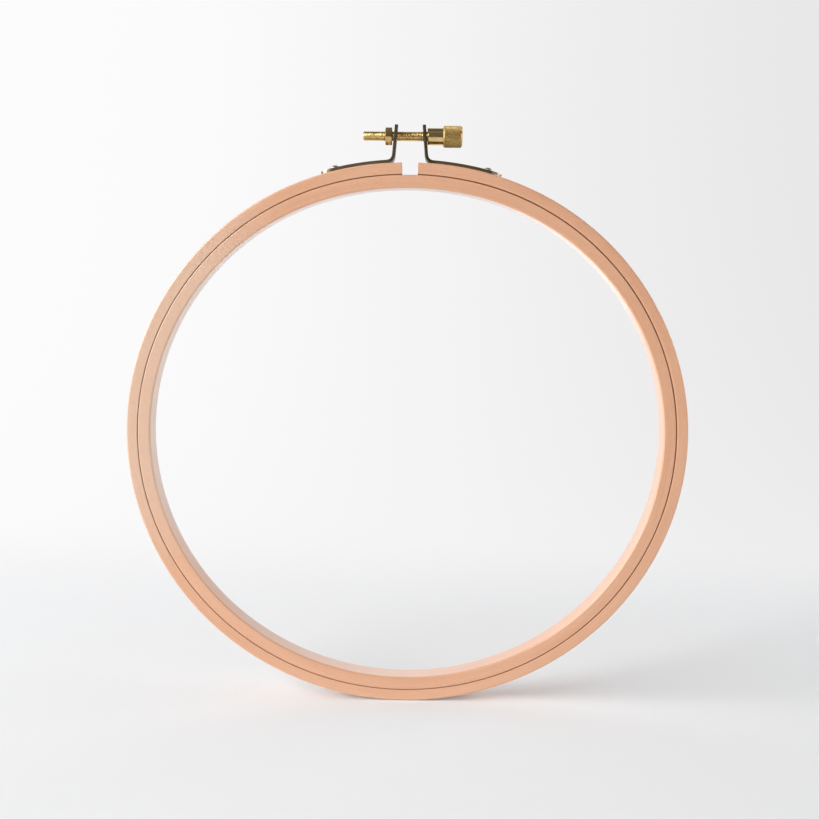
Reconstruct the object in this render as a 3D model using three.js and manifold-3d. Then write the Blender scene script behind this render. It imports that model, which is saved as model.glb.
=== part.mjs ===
// Embroidery hoop: a split outer ring of bent beech, drawn tight round a plain inner ring by a thumb screw.
// Millimetres. +X is right, +Z is up and the front faces -Y.
// The origin is on the surface that the hoop stands on, below the middle of the rings.

import * as THREE from 'three';
import { mergeVertices } from 'three/addons/utils/BufferGeometryUtils.js';
import Module from 'manifold-3d';

const wasm = await Module();
wasm.setup();

// The oval where the two rings meet, and the rings on either side of it
const seamWidth = 177.8;
const seamHeight = 171.8;
const splitFlattening = 0.65;
const ringDepth = 8;
const outerRingThickness = 3.75;
const innerRingThickness = 4.1;
const seamClearance = 0.3;
const ringEdgeRadius = 0.6;
const splitGap = 5;

// The bent sheet brackets
const sheetThickness = 1.1;
const bracketWidth = 6;
const sheetEdgeBreak = 0.12;
const stripReach = 29.4;
const stripEndRadius = 2.7;
const earFootReach = 5.5;
const earWaistReach = 4.93;
const earTopReach = 4.45;
const earWaistHeight = 6.8;
const earHeight = 12.25;
const earCornerRadius = 2.2;
const bendLeg = 1.9;
const seatClearance = 0.3;

// The rivets that hold the brackets
const rivetSetback = 4.6;
const rivetShankDiameter = 1.6;
const rivetHeadDiameter = 2.8;
const rivetHeadHeight = 0.75;
const rivetClinchDiameter = 2.6;
const rivetClinchThickness = 0.45;
const rivetClinchInset = 0.1;
const rivetHeadClearance = 0.15;
const rivetClearance = 0.3;

// The thumb screw
const screwHeight = 8.6;
const shankDiameter = 3;
const shankEndChamfer = 0.4;
const threadOverhang = 7.2;
const neckDiameter = 5.4;
const neckLength = 4.8;
const neckChamfer = 0.25;
const headDiameter = 6.9;
const headLength = 6.3;
const headChamfer = 0.45;
const headDome = 0.2;
const knurlDepth = 0.22;
const knurlsAround = 30;
const knurlRows = 14;
const slotWidth = 1;
const slotDepth = 0.9;
const slotTurn = 17;
const earHoleClearance = 0.5;

// The nut
const nutAcrossFlats = 5.5;
const nutThickness = 2.2;
const nutChamferAngle = 30;
const nutTurn = 8;
const nutBoreClearance = 0.3;

// How finely round things are cut. With an odd number of ring steps a facet lies lowest, level on the ground.
const ringSteps = 97;
const roundSteps = 32;
const rivetSteps = 16;
const cornerSteps = 8;
const edgeSteps = 2;
const stripSteps = 9;
const bendSteps = 6;
const earSteps = 7;
const domeSteps = 5;

// How far a cutting body reaches past what it cuts
const cutMargin = 1;

// Sizes that follow from the ones above
const outerFace = seamClearance / 2 + outerRingThickness;
const innerFace = -seamClearance / 2 - innerRingThickness;
const ringCentreZ = seamHeight / 2 + outerFace;
const stripMiddle = outerFace + seatClearance + sheetThickness / 2;
const stripOutside = stripMiddle + sheetThickness / 2;
const ringTopZ = ringCentreZ + seamHeight / 2 - splitFlattening + outerFace;
const rivetReach = stripReach - rivetSetback;
const clinchBottom = seamClearance / 2 + rivetClinchInset;
const clinchTop = clinchBottom + rivetClinchThickness;
const screwZ = ringTopZ + screwHeight;
const earTopZ = ringTopZ + earHeight;
const shankRadius = shankDiameter / 2;
const headRadius = headDiameter / 2;
const neckRadius = neckDiameter / 2;
const nutCornerRadius = nutAcrossFlats / 2 / Math.cos(Math.PI / 6);

const wood = new THREE.MeshStandardMaterial({ color: 0xdeaa8a, roughness: 0.62, metalness: 0 });
const innerWood = new THREE.MeshStandardMaterial({ color: 0xe4b492, roughness: 0.62, metalness: 0 });
const bronzedSteel = new THREE.MeshStandardMaterial({ color: 0x5c4a34, roughness: 0.38, metalness: 1 });
const turnedBrass = new THREE.MeshStandardMaterial({ color: 0xb8923f, roughness: 0.3, metalness: 1 });
const plainBrass = new THREE.MeshStandardMaterial({ color: 0xa88a3c, roughness: 0.32, metalness: 1 });
const nickelledSteel = new THREE.MeshStandardMaterial({ color: 0xb9b4aa, roughness: 0.35, metalness: 1 });

// A closed geometry as a body that can be joined and cut
function body(geometry) {
  const bare = geometry.clone();
  bare.deleteAttribute('normal');
  bare.deleteAttribute('uv');
  const merged = mergeVertices(bare, 1e-4);
  const corners = merged.index.array;
  const triVerts = [];
  for (let i = 0; i < corners.length; i += 3) {
    const [a, b, c] = [corners[i], corners[i + 1], corners[i + 2]];
    if (a !== b && b !== c && c !== a) triVerts.push(a, b, c);
  }
  return new wasm.Manifold(new wasm.Mesh({
    numProp: 3,
    vertProperties: new Float32Array(merged.attributes.position.array),
    triVerts: new Uint32Array(triVerts),
  }));
}

// A body back as a geometry with flat faces
function geometryOf(solid) {
  const cut = solid.getMesh();
  const geometry = new THREE.BufferGeometry();
  geometry.setAttribute('position', new THREE.BufferAttribute(cut.vertProperties, 3));
  geometry.setIndex(new THREE.BufferAttribute(cut.triVerts, 1));
  const faceted = geometry.toNonIndexed();
  faceted.computeVertexNormals();
  return faceted;
}

// A shape extruded along its own Z, without rounded edges
function prism(shape, depth) {
  return new THREE.ExtrudeGeometry(shape, { depth, bevelEnabled: false, curveSegments: cornerSteps });
}

// Turns a geometry drawn along its own Z so that Z lies along X, its X along Y and its Y along Z
function alongX(geometry) {
  const turn = new THREE.Matrix4().makeBasis(
    new THREE.Vector3(0, 1, 0),
    new THREE.Vector3(0, 0, 1),
    new THREE.Vector3(1, 0, 0),
  );
  return geometry.applyMatrix4(turn);
}

// An outline drawn in the plane of the hoop, given a depth that is centred on that plane
function plate(shape, depth, edge, steps) {
  const geometry = new THREE.ExtrudeGeometry(shape, {
    depth: depth - 2 * edge,
    bevelEnabled: edge > 0,
    bevelThickness: edge,
    bevelSize: edge,
    bevelOffset: -edge,
    bevelSegments: steps,
    steps: 1,
  });
  return geometry.translate(0, 0, edge - depth / 2).rotateX(Math.PI / 2);
}

// A profile of [distance along X, radius] pairs, turned round the X axis
function turned(profile) {
  const points = profile.map(([along, radius]) => new THREE.Vector2(radius, along));
  return new THREE.LatheGeometry(points, roundSteps).rotateZ(-Math.PI / 2);
}

// The seam oval in the plane of the hoop, with how fast it runs there.
// The bent strip straightens a little towards the split, which flattens the top.
function seamAt(angle) {
  const sharpness = 12;
  const rise = Math.max(0, Math.sin(angle));
  const x = (seamWidth / 2) * Math.cos(angle);
  const z = (seamHeight / 2) * Math.sin(angle) - splitFlattening * rise ** sharpness;
  const runX = (-seamWidth / 2) * Math.sin(angle);
  const sag = splitFlattening * sharpness * rise ** (sharpness - 1);
  const runZ = Math.cos(angle) * (seamHeight / 2 - sag);
  return { x, z, runX, runZ };
}

// A point of the seam moved out along the oval's normal
function ovalPoint(angle, offset) {
  const { x, z, runX, runZ } = seamAt(angle);
  const run = Math.hypot(runX, runZ);
  return new THREE.Vector2(x + (offset * runZ) / run, ringCentreZ + z - (offset * runX) / run);
}

// The angle on the right side at which an offset oval reaches a distance from the middle
function angleAt(reach, offset) {
  return Math.acos(reach / (seamWidth / 2 + offset));
}

function arcOfOval(fromAngle, toAngle, offset, steps) {
  const points = [];
  for (let i = 0; i <= steps; i += 1) {
    points.push(ovalPoint(fromAngle + ((toAngle - fromAngle) * i) / steps, offset));
  }
  return points;
}

// Where a rivet stands: its own Z is the oval's normal, with the seam at Z = 0
function rivetPlace(side) {
  const angle = angleAt(rivetReach, outerFace);
  const seat = ovalPoint(angle, 0);
  const above = ovalPoint(angle, 1);
  const lean = Math.atan2(above.x - seat.x, above.y - seat.y);
  const place = new THREE.Object3D();
  place.position.set(side * seat.x, 0, seat.y);
  place.rotation.y = side * lean;
  place.updateMatrix();
  return place.matrix;
}

function rivetHole(side, radius, fromOffset, toOffset) {
  const hole = new THREE.CylinderGeometry(radius, radius, toOffset - fromOffset, rivetSteps);
  hole.rotateX(Math.PI / 2).translate(0, 0, (fromOffset + toOffset) / 2);
  return body(hole.applyMatrix4(rivetPlace(side)));
}

// A rivet: the flat clinched end inside the ring, the shank, and the domed head on the strip
function rivet(side) {
  const shank = rivetShankDiameter / 2;
  const clinch = rivetClinchDiameter / 2;
  const head = rivetHeadDiameter / 2;
  const headSeat = stripOutside + rivetHeadClearance;
  const profile = [
    new THREE.Vector2(0, clinchBottom),
    new THREE.Vector2(clinch, clinchBottom),
    new THREE.Vector2(clinch, clinchTop),
    new THREE.Vector2(shank, clinchTop),
    new THREE.Vector2(shank, headSeat),
  ];
  for (let i = 0; i <= domeSteps; i += 1) {
    const angle = ((Math.PI / 2) * i) / domeSteps;
    profile.push(new THREE.Vector2(head * Math.cos(angle), headSeat + rivetHeadHeight * Math.sin(angle)));
  }
  const geometry = new THREE.LatheGeometry(profile, rivetSteps).rotateX(Math.PI / 2);
  return geometryOf(body(geometry.applyMatrix4(rivetPlace(side))));
}

// The outer ring: an open oval band with eased edges, and a stepped hole for each rivet
function outerRing() {
  const end = Math.PI / 2 - angleAt(splitGap / 2, 0);
  const from = Math.PI / 2 + end;
  const to = Math.PI * 2.5 - end;
  const outside = arcOfOval(from, to, outerFace, ringSteps);
  const inside = arcOfOval(to, from, seamClearance / 2, ringSteps);
  let ring = body(plate(new THREE.Shape([...outside, ...inside]), ringDepth, ringEdgeRadius, edgeSteps));
  for (const side of [-1, 1]) {
    const shank = rivetShankDiameter / 2 + rivetClearance;
    const clinch = rivetClinchDiameter / 2 + rivetClearance;
    ring = ring.subtract(rivetHole(side, shank, -seamClearance, outerFace + cutMargin));
    ring = ring.subtract(rivetHole(side, clinch, -seamClearance, clinchTop + rivetClearance));
  }
  return geometryOf(ring);
}

// The inner ring: a closed oval band with eased edges
function innerRing() {
  const loop = (offset) => arcOfOval(Math.PI / 2, Math.PI * 2.5, offset, ringSteps).slice(1);
  const band = new THREE.Shape(loop(-seamClearance / 2));
  band.holes.push(new THREE.Path(loop(innerFace)));
  return geometryOf(body(plate(band, ringDepth, ringEdgeRadius, edgeSteps)));
}

// The middle line of the bent sheet, from the strip's end over the bend to the top of the ear
function bracketPath() {
  const stripEnd = angleAt(stripReach, stripMiddle);
  const bendStart = angleAt(earFootReach + bendLeg, stripMiddle);
  const corner = ovalPoint(angleAt(earFootReach, stripMiddle), stripMiddle);
  const waist = new THREE.Vector2(earWaistReach, ringTopZ + earWaistHeight);
  const top = new THREE.Vector2(earTopReach, earTopZ);
  const strip = arcOfOval(stripEnd, bendStart, stripMiddle, stripSteps);
  const earFoot = corner.clone().add(waist.clone().sub(corner).setLength(bendLeg));
  const bend = new THREE.QuadraticBezierCurve(strip.at(-1), corner, earFoot).getPoints(bendSteps);
  const ear = new THREE.QuadraticBezierCurve(earFoot, waist, top).getPoints(earSteps);
  return [...strip, ...bend.slice(1), ...ear.slice(1)];
}

// A line of points moved sideways
function besides(path, distance) {
  return path.map((point, i) => {
    const before = path[Math.max(0, i - 1)];
    const after = path[Math.min(path.length - 1, i + 1)];
    const along = after.clone().sub(before).normalize();
    return new THREE.Vector2(point.x - distance * along.y, point.y + distance * along.x);
  });
}

// How far from the middle the outward face of an ear lies, at a height
function earFaceAt(height) {
  const face = besides(bracketPath(), -sheetThickness / 2);
  let reach = 0;
  for (const [i, high] of face.entries()) {
    const low = face[i - 1];
    if (i > stripSteps + bendSteps && low.y <= height && high.y >= height) {
      reach = low.x + ((high.x - low.x) * (height - low.y)) / (high.y - low.y);
    }
  }
  return reach;
}

// The flat outline of a tab of the sheet: straight sides from the base line to a far end with round corners
function tab(reach, cornerRadius) {
  const half = bracketWidth / 2;
  const shape = new THREE.Shape();
  shape.moveTo(-half, 0);
  shape.lineTo(half, 0);
  shape.lineTo(half, reach - cornerRadius);
  shape.absarc(half - cornerRadius, reach - cornerRadius, cornerRadius, 0, Math.PI / 2);
  shape.absarc(cornerRadius - half, reach - cornerRadius, cornerRadius, Math.PI / 2, Math.PI);
  return shape;
}

// A bracket: the bent sheet, trimmed to a strip and an ear with round corners, and its two holes
function bracket(side) {
  const path = bracketPath();
  const outline = [...besides(path, sheetThickness / 2), ...besides(path, -sheetThickness / 2).reverse()];
  const section = outline.map((point) => new THREE.Vector2(side * point.x, point.y));
  const sheet = body(plate(new THREE.Shape(section), bracketWidth, sheetEdgeBreak, 1));

  const earLimit = earFootReach + bendLeg;
  const earRoom = alongX(prism(tab(earHeight, earCornerRadius), earLimit));
  earRoom.translate(side > 0 ? 0 : -earLimit, 0, ringTopZ);
  const stripRoom = prism(tab(stripReach, stripEndRadius), earHeight);
  stripRoom.rotateZ((-side * Math.PI) / 2).translate(0, 0, ringTopZ - earHeight + sheetThickness * 2);

  const earHoleRadius = shankRadius + earHoleClearance;
  const earHole = new THREE.CylinderGeometry(earHoleRadius, earHoleRadius, earLimit, roundSteps);
  earHole.rotateZ(Math.PI / 2).translate((side * earLimit) / 2, 0, screwZ);
  const rivetHoleRadius = rivetShankDiameter / 2 + rivetClearance;

  const trimmed = sheet.intersect(body(earRoom).add(body(stripRoom)));
  const pierced = trimmed.subtract(body(earHole));
  return geometryOf(pierced.subtract(rivetHole(side, rivetHoleRadius, outerFace, stripOutside + cutMargin)));
}

// Where the screw and the nut sit along X: the neck bears on the right ear and the nut on the left one
const neckStart = earFaceAt(screwZ - neckRadius) + seatClearance;
const headStart = neckStart + neckLength;
const nutInside = -earFaceAt(screwZ - nutAcrossFlats / 2) - seatClearance;
const shankEnd = nutInside - nutThickness - threadOverhang;

// The head's knurl is a grid of small pyramids: every other point of the grid is a tip.
// Each face is split between its two valleys, so that each tip has four facets.
function knurledHead() {
  const around = knurlsAround * 2;
  const endRadius = headRadius - headChamfer;
  const knurlStart = headChamfer;
  const knurlEnd = headLength - headDome - headChamfer;
  const domeRing = 0.6;
  const rows = [{ along: 0, radius: endRadius, cut: 0 }];
  for (let j = 0; j <= knurlRows; j += 1) {
    const along = knurlStart + ((knurlEnd - knurlStart) * j) / knurlRows;
    rows.push({ along, radius: headRadius, cut: j === 0 || j === knurlRows ? 0 : knurlDepth });
  }
  rows.push({ along: headLength - headDome, radius: endRadius, cut: 0 });
  rows.push({ along: headLength - headDome * domeRing ** 2, radius: endRadius * domeRing, cut: 0 });

  const positions = [0, 0, 0];
  for (const [j, { along, radius, cut }] of rows.entries()) {
    for (let i = 0; i < around; i += 1) {
      const angle = (i * Math.PI * 2) / around;
      const distance = (i + j) % 2 === 1 ? radius - cut : radius;
      positions.push(along, distance * Math.cos(angle), distance * Math.sin(angle));
    }
  }
  positions.push(headLength, 0, 0);

  const at = (j, i) => 1 + j * around + (i % around);
  const faces = [];
  const last = rows.length - 1;
  for (let i = 0; i < around; i += 1) {
    faces.push(0, at(0, i + 1), at(0, i));
    faces.push(1 + rows.length * around, at(last, i), at(last, i + 1));
    for (let j = 0; j < last; j += 1) {
      const [a, b, c, d] = [at(j, i), at(j, i + 1), at(j + 1, i + 1), at(j + 1, i)];
      if ((i + j) % 2 === 0) faces.push(a, b, d, b, c, d);
      else faces.push(a, b, c, a, c, d);
    }
  }
  const geometry = new THREE.BufferGeometry();
  geometry.setAttribute('position', new THREE.Float32BufferAttribute(positions, 3));
  geometry.setIndex(faces);
  return body(geometry.translate(headStart, 0, screwZ));
}

// The thumb screw: shank and neck turned in one, the knurled head joined on, and the slot cut in its end
function thumbScrew() {
  const spindle = turned([
    [shankEnd, 0],
    [shankEnd, shankRadius - shankEndChamfer],
    [shankEnd + shankEndChamfer, shankRadius],
    [neckStart, shankRadius],
    [neckStart, neckRadius - neckChamfer],
    [neckStart + neckChamfer, neckRadius],
    [headStart + headChamfer, neckRadius],
    [headStart + headChamfer, 0],
  ]);
  const slot = new THREE.BoxGeometry(slotDepth * 2, headDiameter + cutMargin * 2, slotWidth);
  slot.rotateX(THREE.MathUtils.degToRad(-slotTurn)).translate(headStart + headLength, 0, screwZ);
  return geometryOf(body(spindle.translate(0, 0, screwZ)).add(knurledHead()).subtract(body(slot)));
}

// The nut: a hexagonal bar with its corners turned off at both faces, and its bore
function hexNut() {
  const hexagon = new THREE.Shape();
  for (let i = 0; i < 6; i += 1) {
    const angle = THREE.MathUtils.degToRad(nutTurn + 60 * i);
    const corner = [nutCornerRadius * Math.cos(angle), nutCornerRadius * Math.sin(angle)];
    if (i === 0) hexagon.moveTo(...corner);
    else hexagon.lineTo(...corner);
  }
  const bar = alongX(prism(hexagon, nutThickness));
  const widest = nutCornerRadius + cutMargin;
  const chamfer = (widest - nutAcrossFlats / 2) * Math.tan(THREE.MathUtils.degToRad(nutChamferAngle));
  const barrel = turned([
    [0, 0],
    [0, nutAcrossFlats / 2],
    [chamfer, widest],
    [nutThickness - chamfer, widest],
    [nutThickness, nutAcrossFlats / 2],
    [nutThickness, 0],
  ]);
  const boreRadius = shankRadius + nutBoreClearance;
  const bore = new THREE.CylinderGeometry(boreRadius, boreRadius, nutThickness + cutMargin * 2, roundSteps);
  bore.rotateZ(Math.PI / 2).translate(nutThickness / 2, 0, 0);
  const nut = geometryOf(body(bar).intersect(body(barrel)).subtract(body(bore)));
  return nut.translate(nutInside - nutThickness, 0, screwZ);
}

const hoop = new THREE.Group();

function addPiece(name, geometry, material) {
  const piece = new THREE.Mesh(geometry, material);
  piece.name = name;
  hoop.add(piece);
}

addPiece('outer_ring', outerRing(), wood);
addPiece('inner_ring', innerRing(), innerWood);
addPiece('left_bracket', bracket(-1), bronzedSteel);
addPiece('right_bracket', bracket(1), bronzedSteel);
addPiece('left_rivet', rivet(-1), nickelledSteel);
addPiece('right_rivet', rivet(1), nickelledSteel);
addPiece('thumb_screw', thumbScrew(), turnedBrass);
addPiece('hex_nut', hexNut(), plainBrass);

export default hoop;
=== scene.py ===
import math

import bmesh
import bpy
from mathutils import Matrix, Vector


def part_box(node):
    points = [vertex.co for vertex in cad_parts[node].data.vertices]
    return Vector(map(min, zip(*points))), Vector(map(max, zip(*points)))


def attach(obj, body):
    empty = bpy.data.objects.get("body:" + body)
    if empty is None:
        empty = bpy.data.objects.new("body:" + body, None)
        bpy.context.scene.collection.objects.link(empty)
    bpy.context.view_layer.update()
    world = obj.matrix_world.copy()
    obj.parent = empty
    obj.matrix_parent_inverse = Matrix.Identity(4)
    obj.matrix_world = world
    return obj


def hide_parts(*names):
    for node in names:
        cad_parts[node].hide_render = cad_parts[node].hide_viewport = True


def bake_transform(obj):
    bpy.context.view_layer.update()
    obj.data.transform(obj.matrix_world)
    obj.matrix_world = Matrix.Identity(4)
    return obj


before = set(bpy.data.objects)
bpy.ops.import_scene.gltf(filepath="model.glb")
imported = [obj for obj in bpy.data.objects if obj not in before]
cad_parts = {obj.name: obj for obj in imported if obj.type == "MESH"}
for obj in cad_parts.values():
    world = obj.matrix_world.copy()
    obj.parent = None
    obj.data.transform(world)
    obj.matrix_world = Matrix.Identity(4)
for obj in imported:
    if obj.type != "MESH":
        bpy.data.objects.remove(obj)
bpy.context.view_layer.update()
print("frame loaded:", ", ".join(sorted(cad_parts)))

# Sizes in this script are millimetres, apart from the stage's and the lights', which are metres.
# Meshes are scaled to metres when they are made.
mm = 0.001

# The oval where the two rings meet, as the CAD part has it, and the bands on either side of it
hoopShape = {
    "seamWidth": 177.8,
    "seamHeight": 171.8,
    "splitFlattening": 0.65,
    "flatteningSharpness": 12,
    "outerThickness": 3.7,
    "innerThickness": 4.1,
    "seamClearance": 0.3,
    "depth": 8.0,
    "splitGap": 5.0,
}


def boxOf(node):
    # a node's lowest and highest corners in millimetres
    low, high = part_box(node)
    return low / mm, high / mm


outerFace = hoopShape["seamClearance"] / 2 + hoopShape["outerThickness"]
innerFace = -hoopShape["seamClearance"] / 2 - hoopShape["innerThickness"]
ringCentreZ = hoopShape["seamHeight"] / 2 + outerFace
ringTopZ = 2 * ringCentreZ - hoopShape["splitFlattening"]
screwLow, screwHigh = boxOf("thumb_screw")
nutLow, nutHigh = boxOf("hex_nut")
earTopZ = boxOf("right_bracket")[1].z
screwZ = (nutLow.z + nutHigh.z) / 2


# Camera

cameraSettings = {
    "lens": 45.1,
    "sensor": 36.0,
    "place": (2.8, -339.6, 133.1),
    "yaw": -0.342,
    "pitchDown": 5.794,
    "roll": 0.677,
    "clipMetres": (0.01, 20.0),
}


def makeCamera(s):
    yaw, pitch, roll = (math.radians(s[k]) for k in ("yaw", "pitchDown", "roll"))
    forward = Vector(
        (math.sin(yaw) * math.cos(pitch), math.cos(yaw) * math.cos(pitch), -math.sin(pitch))
    )
    level = Vector((math.cos(yaw), -math.sin(yaw), 0))
    upright = level.cross(forward)
    right = level * math.cos(roll) + upright * math.sin(roll)
    up = upright * math.cos(roll) - level * math.sin(roll)
    data = bpy.data.cameras.new("photoCamera")
    data.lens = s["lens"]
    data.sensor_width = s["sensor"]
    data.clip_start, data.clip_end = s["clipMetres"]
    camera = bpy.data.objects.new("photoCamera", data)
    bpy.context.scene.collection.objects.link(camera)
    axes = Matrix((right, up, -forward)).transposed()
    camera.matrix_world = Matrix.Translation(Vector(s["place"]) * mm) @ axes.to_4x4()
    bpy.context.scene.camera = camera


makeCamera(cameraSettings)
print("camera set")


# Helpers for meshes and materials

def hexColor(code):
    # an sRGB hex value as linear red, green, blue and alpha
    channels = [int(code[i : i + 2], 16) / 255 for i in (1, 3, 5)]
    linear = [c / 12.92 if c <= 0.04045 else ((c + 0.055) / 1.055) ** 2.4 for c in channels]
    return (*linear, 1.0)


def addNode(tree, kind, settings=None, links=None):
    # one shader node: settings by property or socket, and links from other nodes' outputs
    node = tree.nodes.new(kind)
    for name, value in (settings or {}).items():
        if isinstance(name, int) or name in node.inputs:
            node.inputs[name].default_value = value
        else:
            setattr(node, name, value)
    for name, source in (links or {}).items():
        tree.links.new(source, node.inputs[name])
    return node


def newMaterial(name, settings):
    # a material with its principled shader, both returned with the node tree
    material = bpy.data.materials.new(name)
    material.use_nodes = True
    tree = material.node_tree
    tree.nodes.clear()
    shader = addNode(tree, "ShaderNodeBsdfPrincipled", settings)
    addNode(tree, "ShaderNodeOutputMaterial", None, {"Surface": shader.outputs["BSDF"]})
    return material, tree, shader


def makePiece(name, points, faces, smoothAngle=35, attributes=None):
    # a mesh object from points in millimetres, with merged corners, outward faces and smooth shading
    mesh = bpy.data.meshes.new(name)
    mesh.from_pydata([tuple(c * mm for c in p) for p in points], [], faces)
    for key, (kind, values) in (attributes or {}).items():
        layer = mesh.attributes.new(key, kind, "POINT")
        field = "vector" if kind == "FLOAT_VECTOR" else "value"
        flat = [c for v in values for c in v] if kind == "FLOAT_VECTOR" else values
        layer.data.foreach_set(field, flat)
    piece = bpy.data.objects.new(name, mesh)
    bpy.context.scene.collection.objects.link(piece)
    cleanMesh(mesh)
    shadeMesh(mesh, smoothAngle)
    return piece


mergeDistance = 1e-7  # metres
shortestEdge = 1e-8  # metres


def cleanMesh(mesh):
    work = bmesh.new()
    work.from_mesh(mesh)
    bmesh.ops.remove_doubles(work, verts=work.verts, dist=mergeDistance)
    bmesh.ops.dissolve_degenerate(work, edges=work.edges, dist=shortestEdge)
    bmesh.ops.recalc_face_normals(work, faces=work.faces)
    work.to_mesh(mesh)
    work.free()


def shadeMesh(mesh, smoothAngle):
    mesh.shade_smooth()
    mesh.set_sharp_from_angle(angle=math.radians(smoothAngle))


def applyModifiers(piece):
    # the piece's mesh becomes what its modifiers make of it
    graph = bpy.context.evaluated_depsgraph_get()
    graph.update()
    made = bpy.data.meshes.new_from_object(piece.evaluated_get(graph))
    piece.modifiers.clear()
    piece.data = made


def combine(piece, other, operation):
    # joins or cuts a piece by another closed mesh, which is used up
    cutter = piece.modifiers.new("combine", "BOOLEAN")
    cutter.operation = operation
    cutter.solver = "MANIFOLD"
    cutter.object = other
    applyModifiers(piece)
    bpy.data.objects.remove(other)


def gridFaces(rows, columns, closeRows=False, closeColumns=False):
    # quads over a grid of points that is numbered row by row
    faces = []
    for i in range(rows if closeRows else rows - 1):
        for j in range(columns if closeColumns else columns - 1):
            a = i * columns + j
            b = i * columns + (j + 1) % columns
            c = ((i + 1) % rows) * columns + (j + 1) % columns
            d = ((i + 1) % rows) * columns + j
            faces.append((a, b, c, d))
    return faces


def spindleFaces(rows, count):
    # quads between rings of points, and a fan to the single point at either end
    faces = [tuple(1 + i for i in face) for face in gridFaces(rows, count, closeColumns=True)]
    last = 1 + rows * count
    for k in range(count):
        after = (k + 1) % count
        faces.append((0, 1 + after, 1 + k))
        faces.append((last, last - count + k, last - count + after))
    return faces


def arc(centre, radius, fromDegrees, toDegrees, steps):
    # points along a circular arc in a profile's plane
    made = []
    for i in range(steps + 1):
        angle = math.radians(fromDegrees + (toDegrees - fromDegrees) * i / steps)
        made.append((centre[0] + radius * math.cos(angle), centre[1] + radius * math.sin(angle)))
    return made


def seamAt(angle):
    # the seam oval about its own centre, and how fast it runs there
    s = hoopShape
    rise = max(0.0, math.sin(angle))
    power = s["flatteningSharpness"]
    x = s["seamWidth"] / 2 * math.cos(angle)
    z = s["seamHeight"] / 2 * math.sin(angle) - s["splitFlattening"] * rise**power
    runX = -s["seamWidth"] / 2 * math.sin(angle)
    sag = s["splitFlattening"] * power * rise ** (power - 1)
    runZ = math.cos(angle) * (s["seamHeight"] / 2 - sag)
    return x, z, runX, runZ


def ovalPoint(angle, offset):
    # a point of the seam moved out along the oval's normal
    x, z, runX, runZ = seamAt(angle)
    run = math.hypot(runX, runZ)
    return x + offset * runZ / run, ringCentreZ + z - offset * runX / run


def angleAt(reach, offset):
    # the angle on the right side at which an offset oval reaches a distance from the middle
    return math.acos(reach / (hoopShape["seamWidth"] / 2 + offset))


# Materials

# Beech, steam-bent and sanded: pinkish tan, with faint lines along the strip and short dark ray flecks
beechSettings = {
    "light": "#F2BC98",
    "dark": "#E3A680",
    "fleck": "#C58E6B",
    "leftPale": "#E9C6AC",
    "leftPaleWay": (-0.966, 0.0, 0.259),
    "leftPaleFrom": 56.0,
    "leftPaleTo": 84.0,
    "leftPaleShare": 0.75,
    "roughness": 0.45,
    "refraction": 1.46,
    "sheen": 0.9,
    "sheenRoughness": 0.4,
    "coat": 0.9,
    "coatRoughness": 0.3,
    # length along the strip, width across it, and between which levels of the noise it comes in
    "lines": {"length": 45.0, "width": 0.45, "detail": 3, "from": 0.3, "to": 0.7, "share": 0.45},
    "patches": {"length": 60.0, "width": 6.0, "detail": 2, "from": 0.3, "to": 0.7, "share": 0.55},
    "flecks": {"length": 1.2, "width": 0.16, "detail": 0, "from": 0.62, "to": 0.8, "share": 0.4},
    "grainRoughness": 0.55,
    "reliefDepth": 0.012,
    "reliefStrength": 0.5,
}

# The edges that meet along the seam, never oiled: matt, and browned by dust and handling
seamSettings = {
    **beechSettings,
    "light": "#D39A73",
    "dark": "#BC825B",
    "fleck": "#A06A47",
    "leftPale": "#C4A184",
    "roughness": 0.8,
    "sheen": 0.0,
    "coat": 0.0,
}


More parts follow.
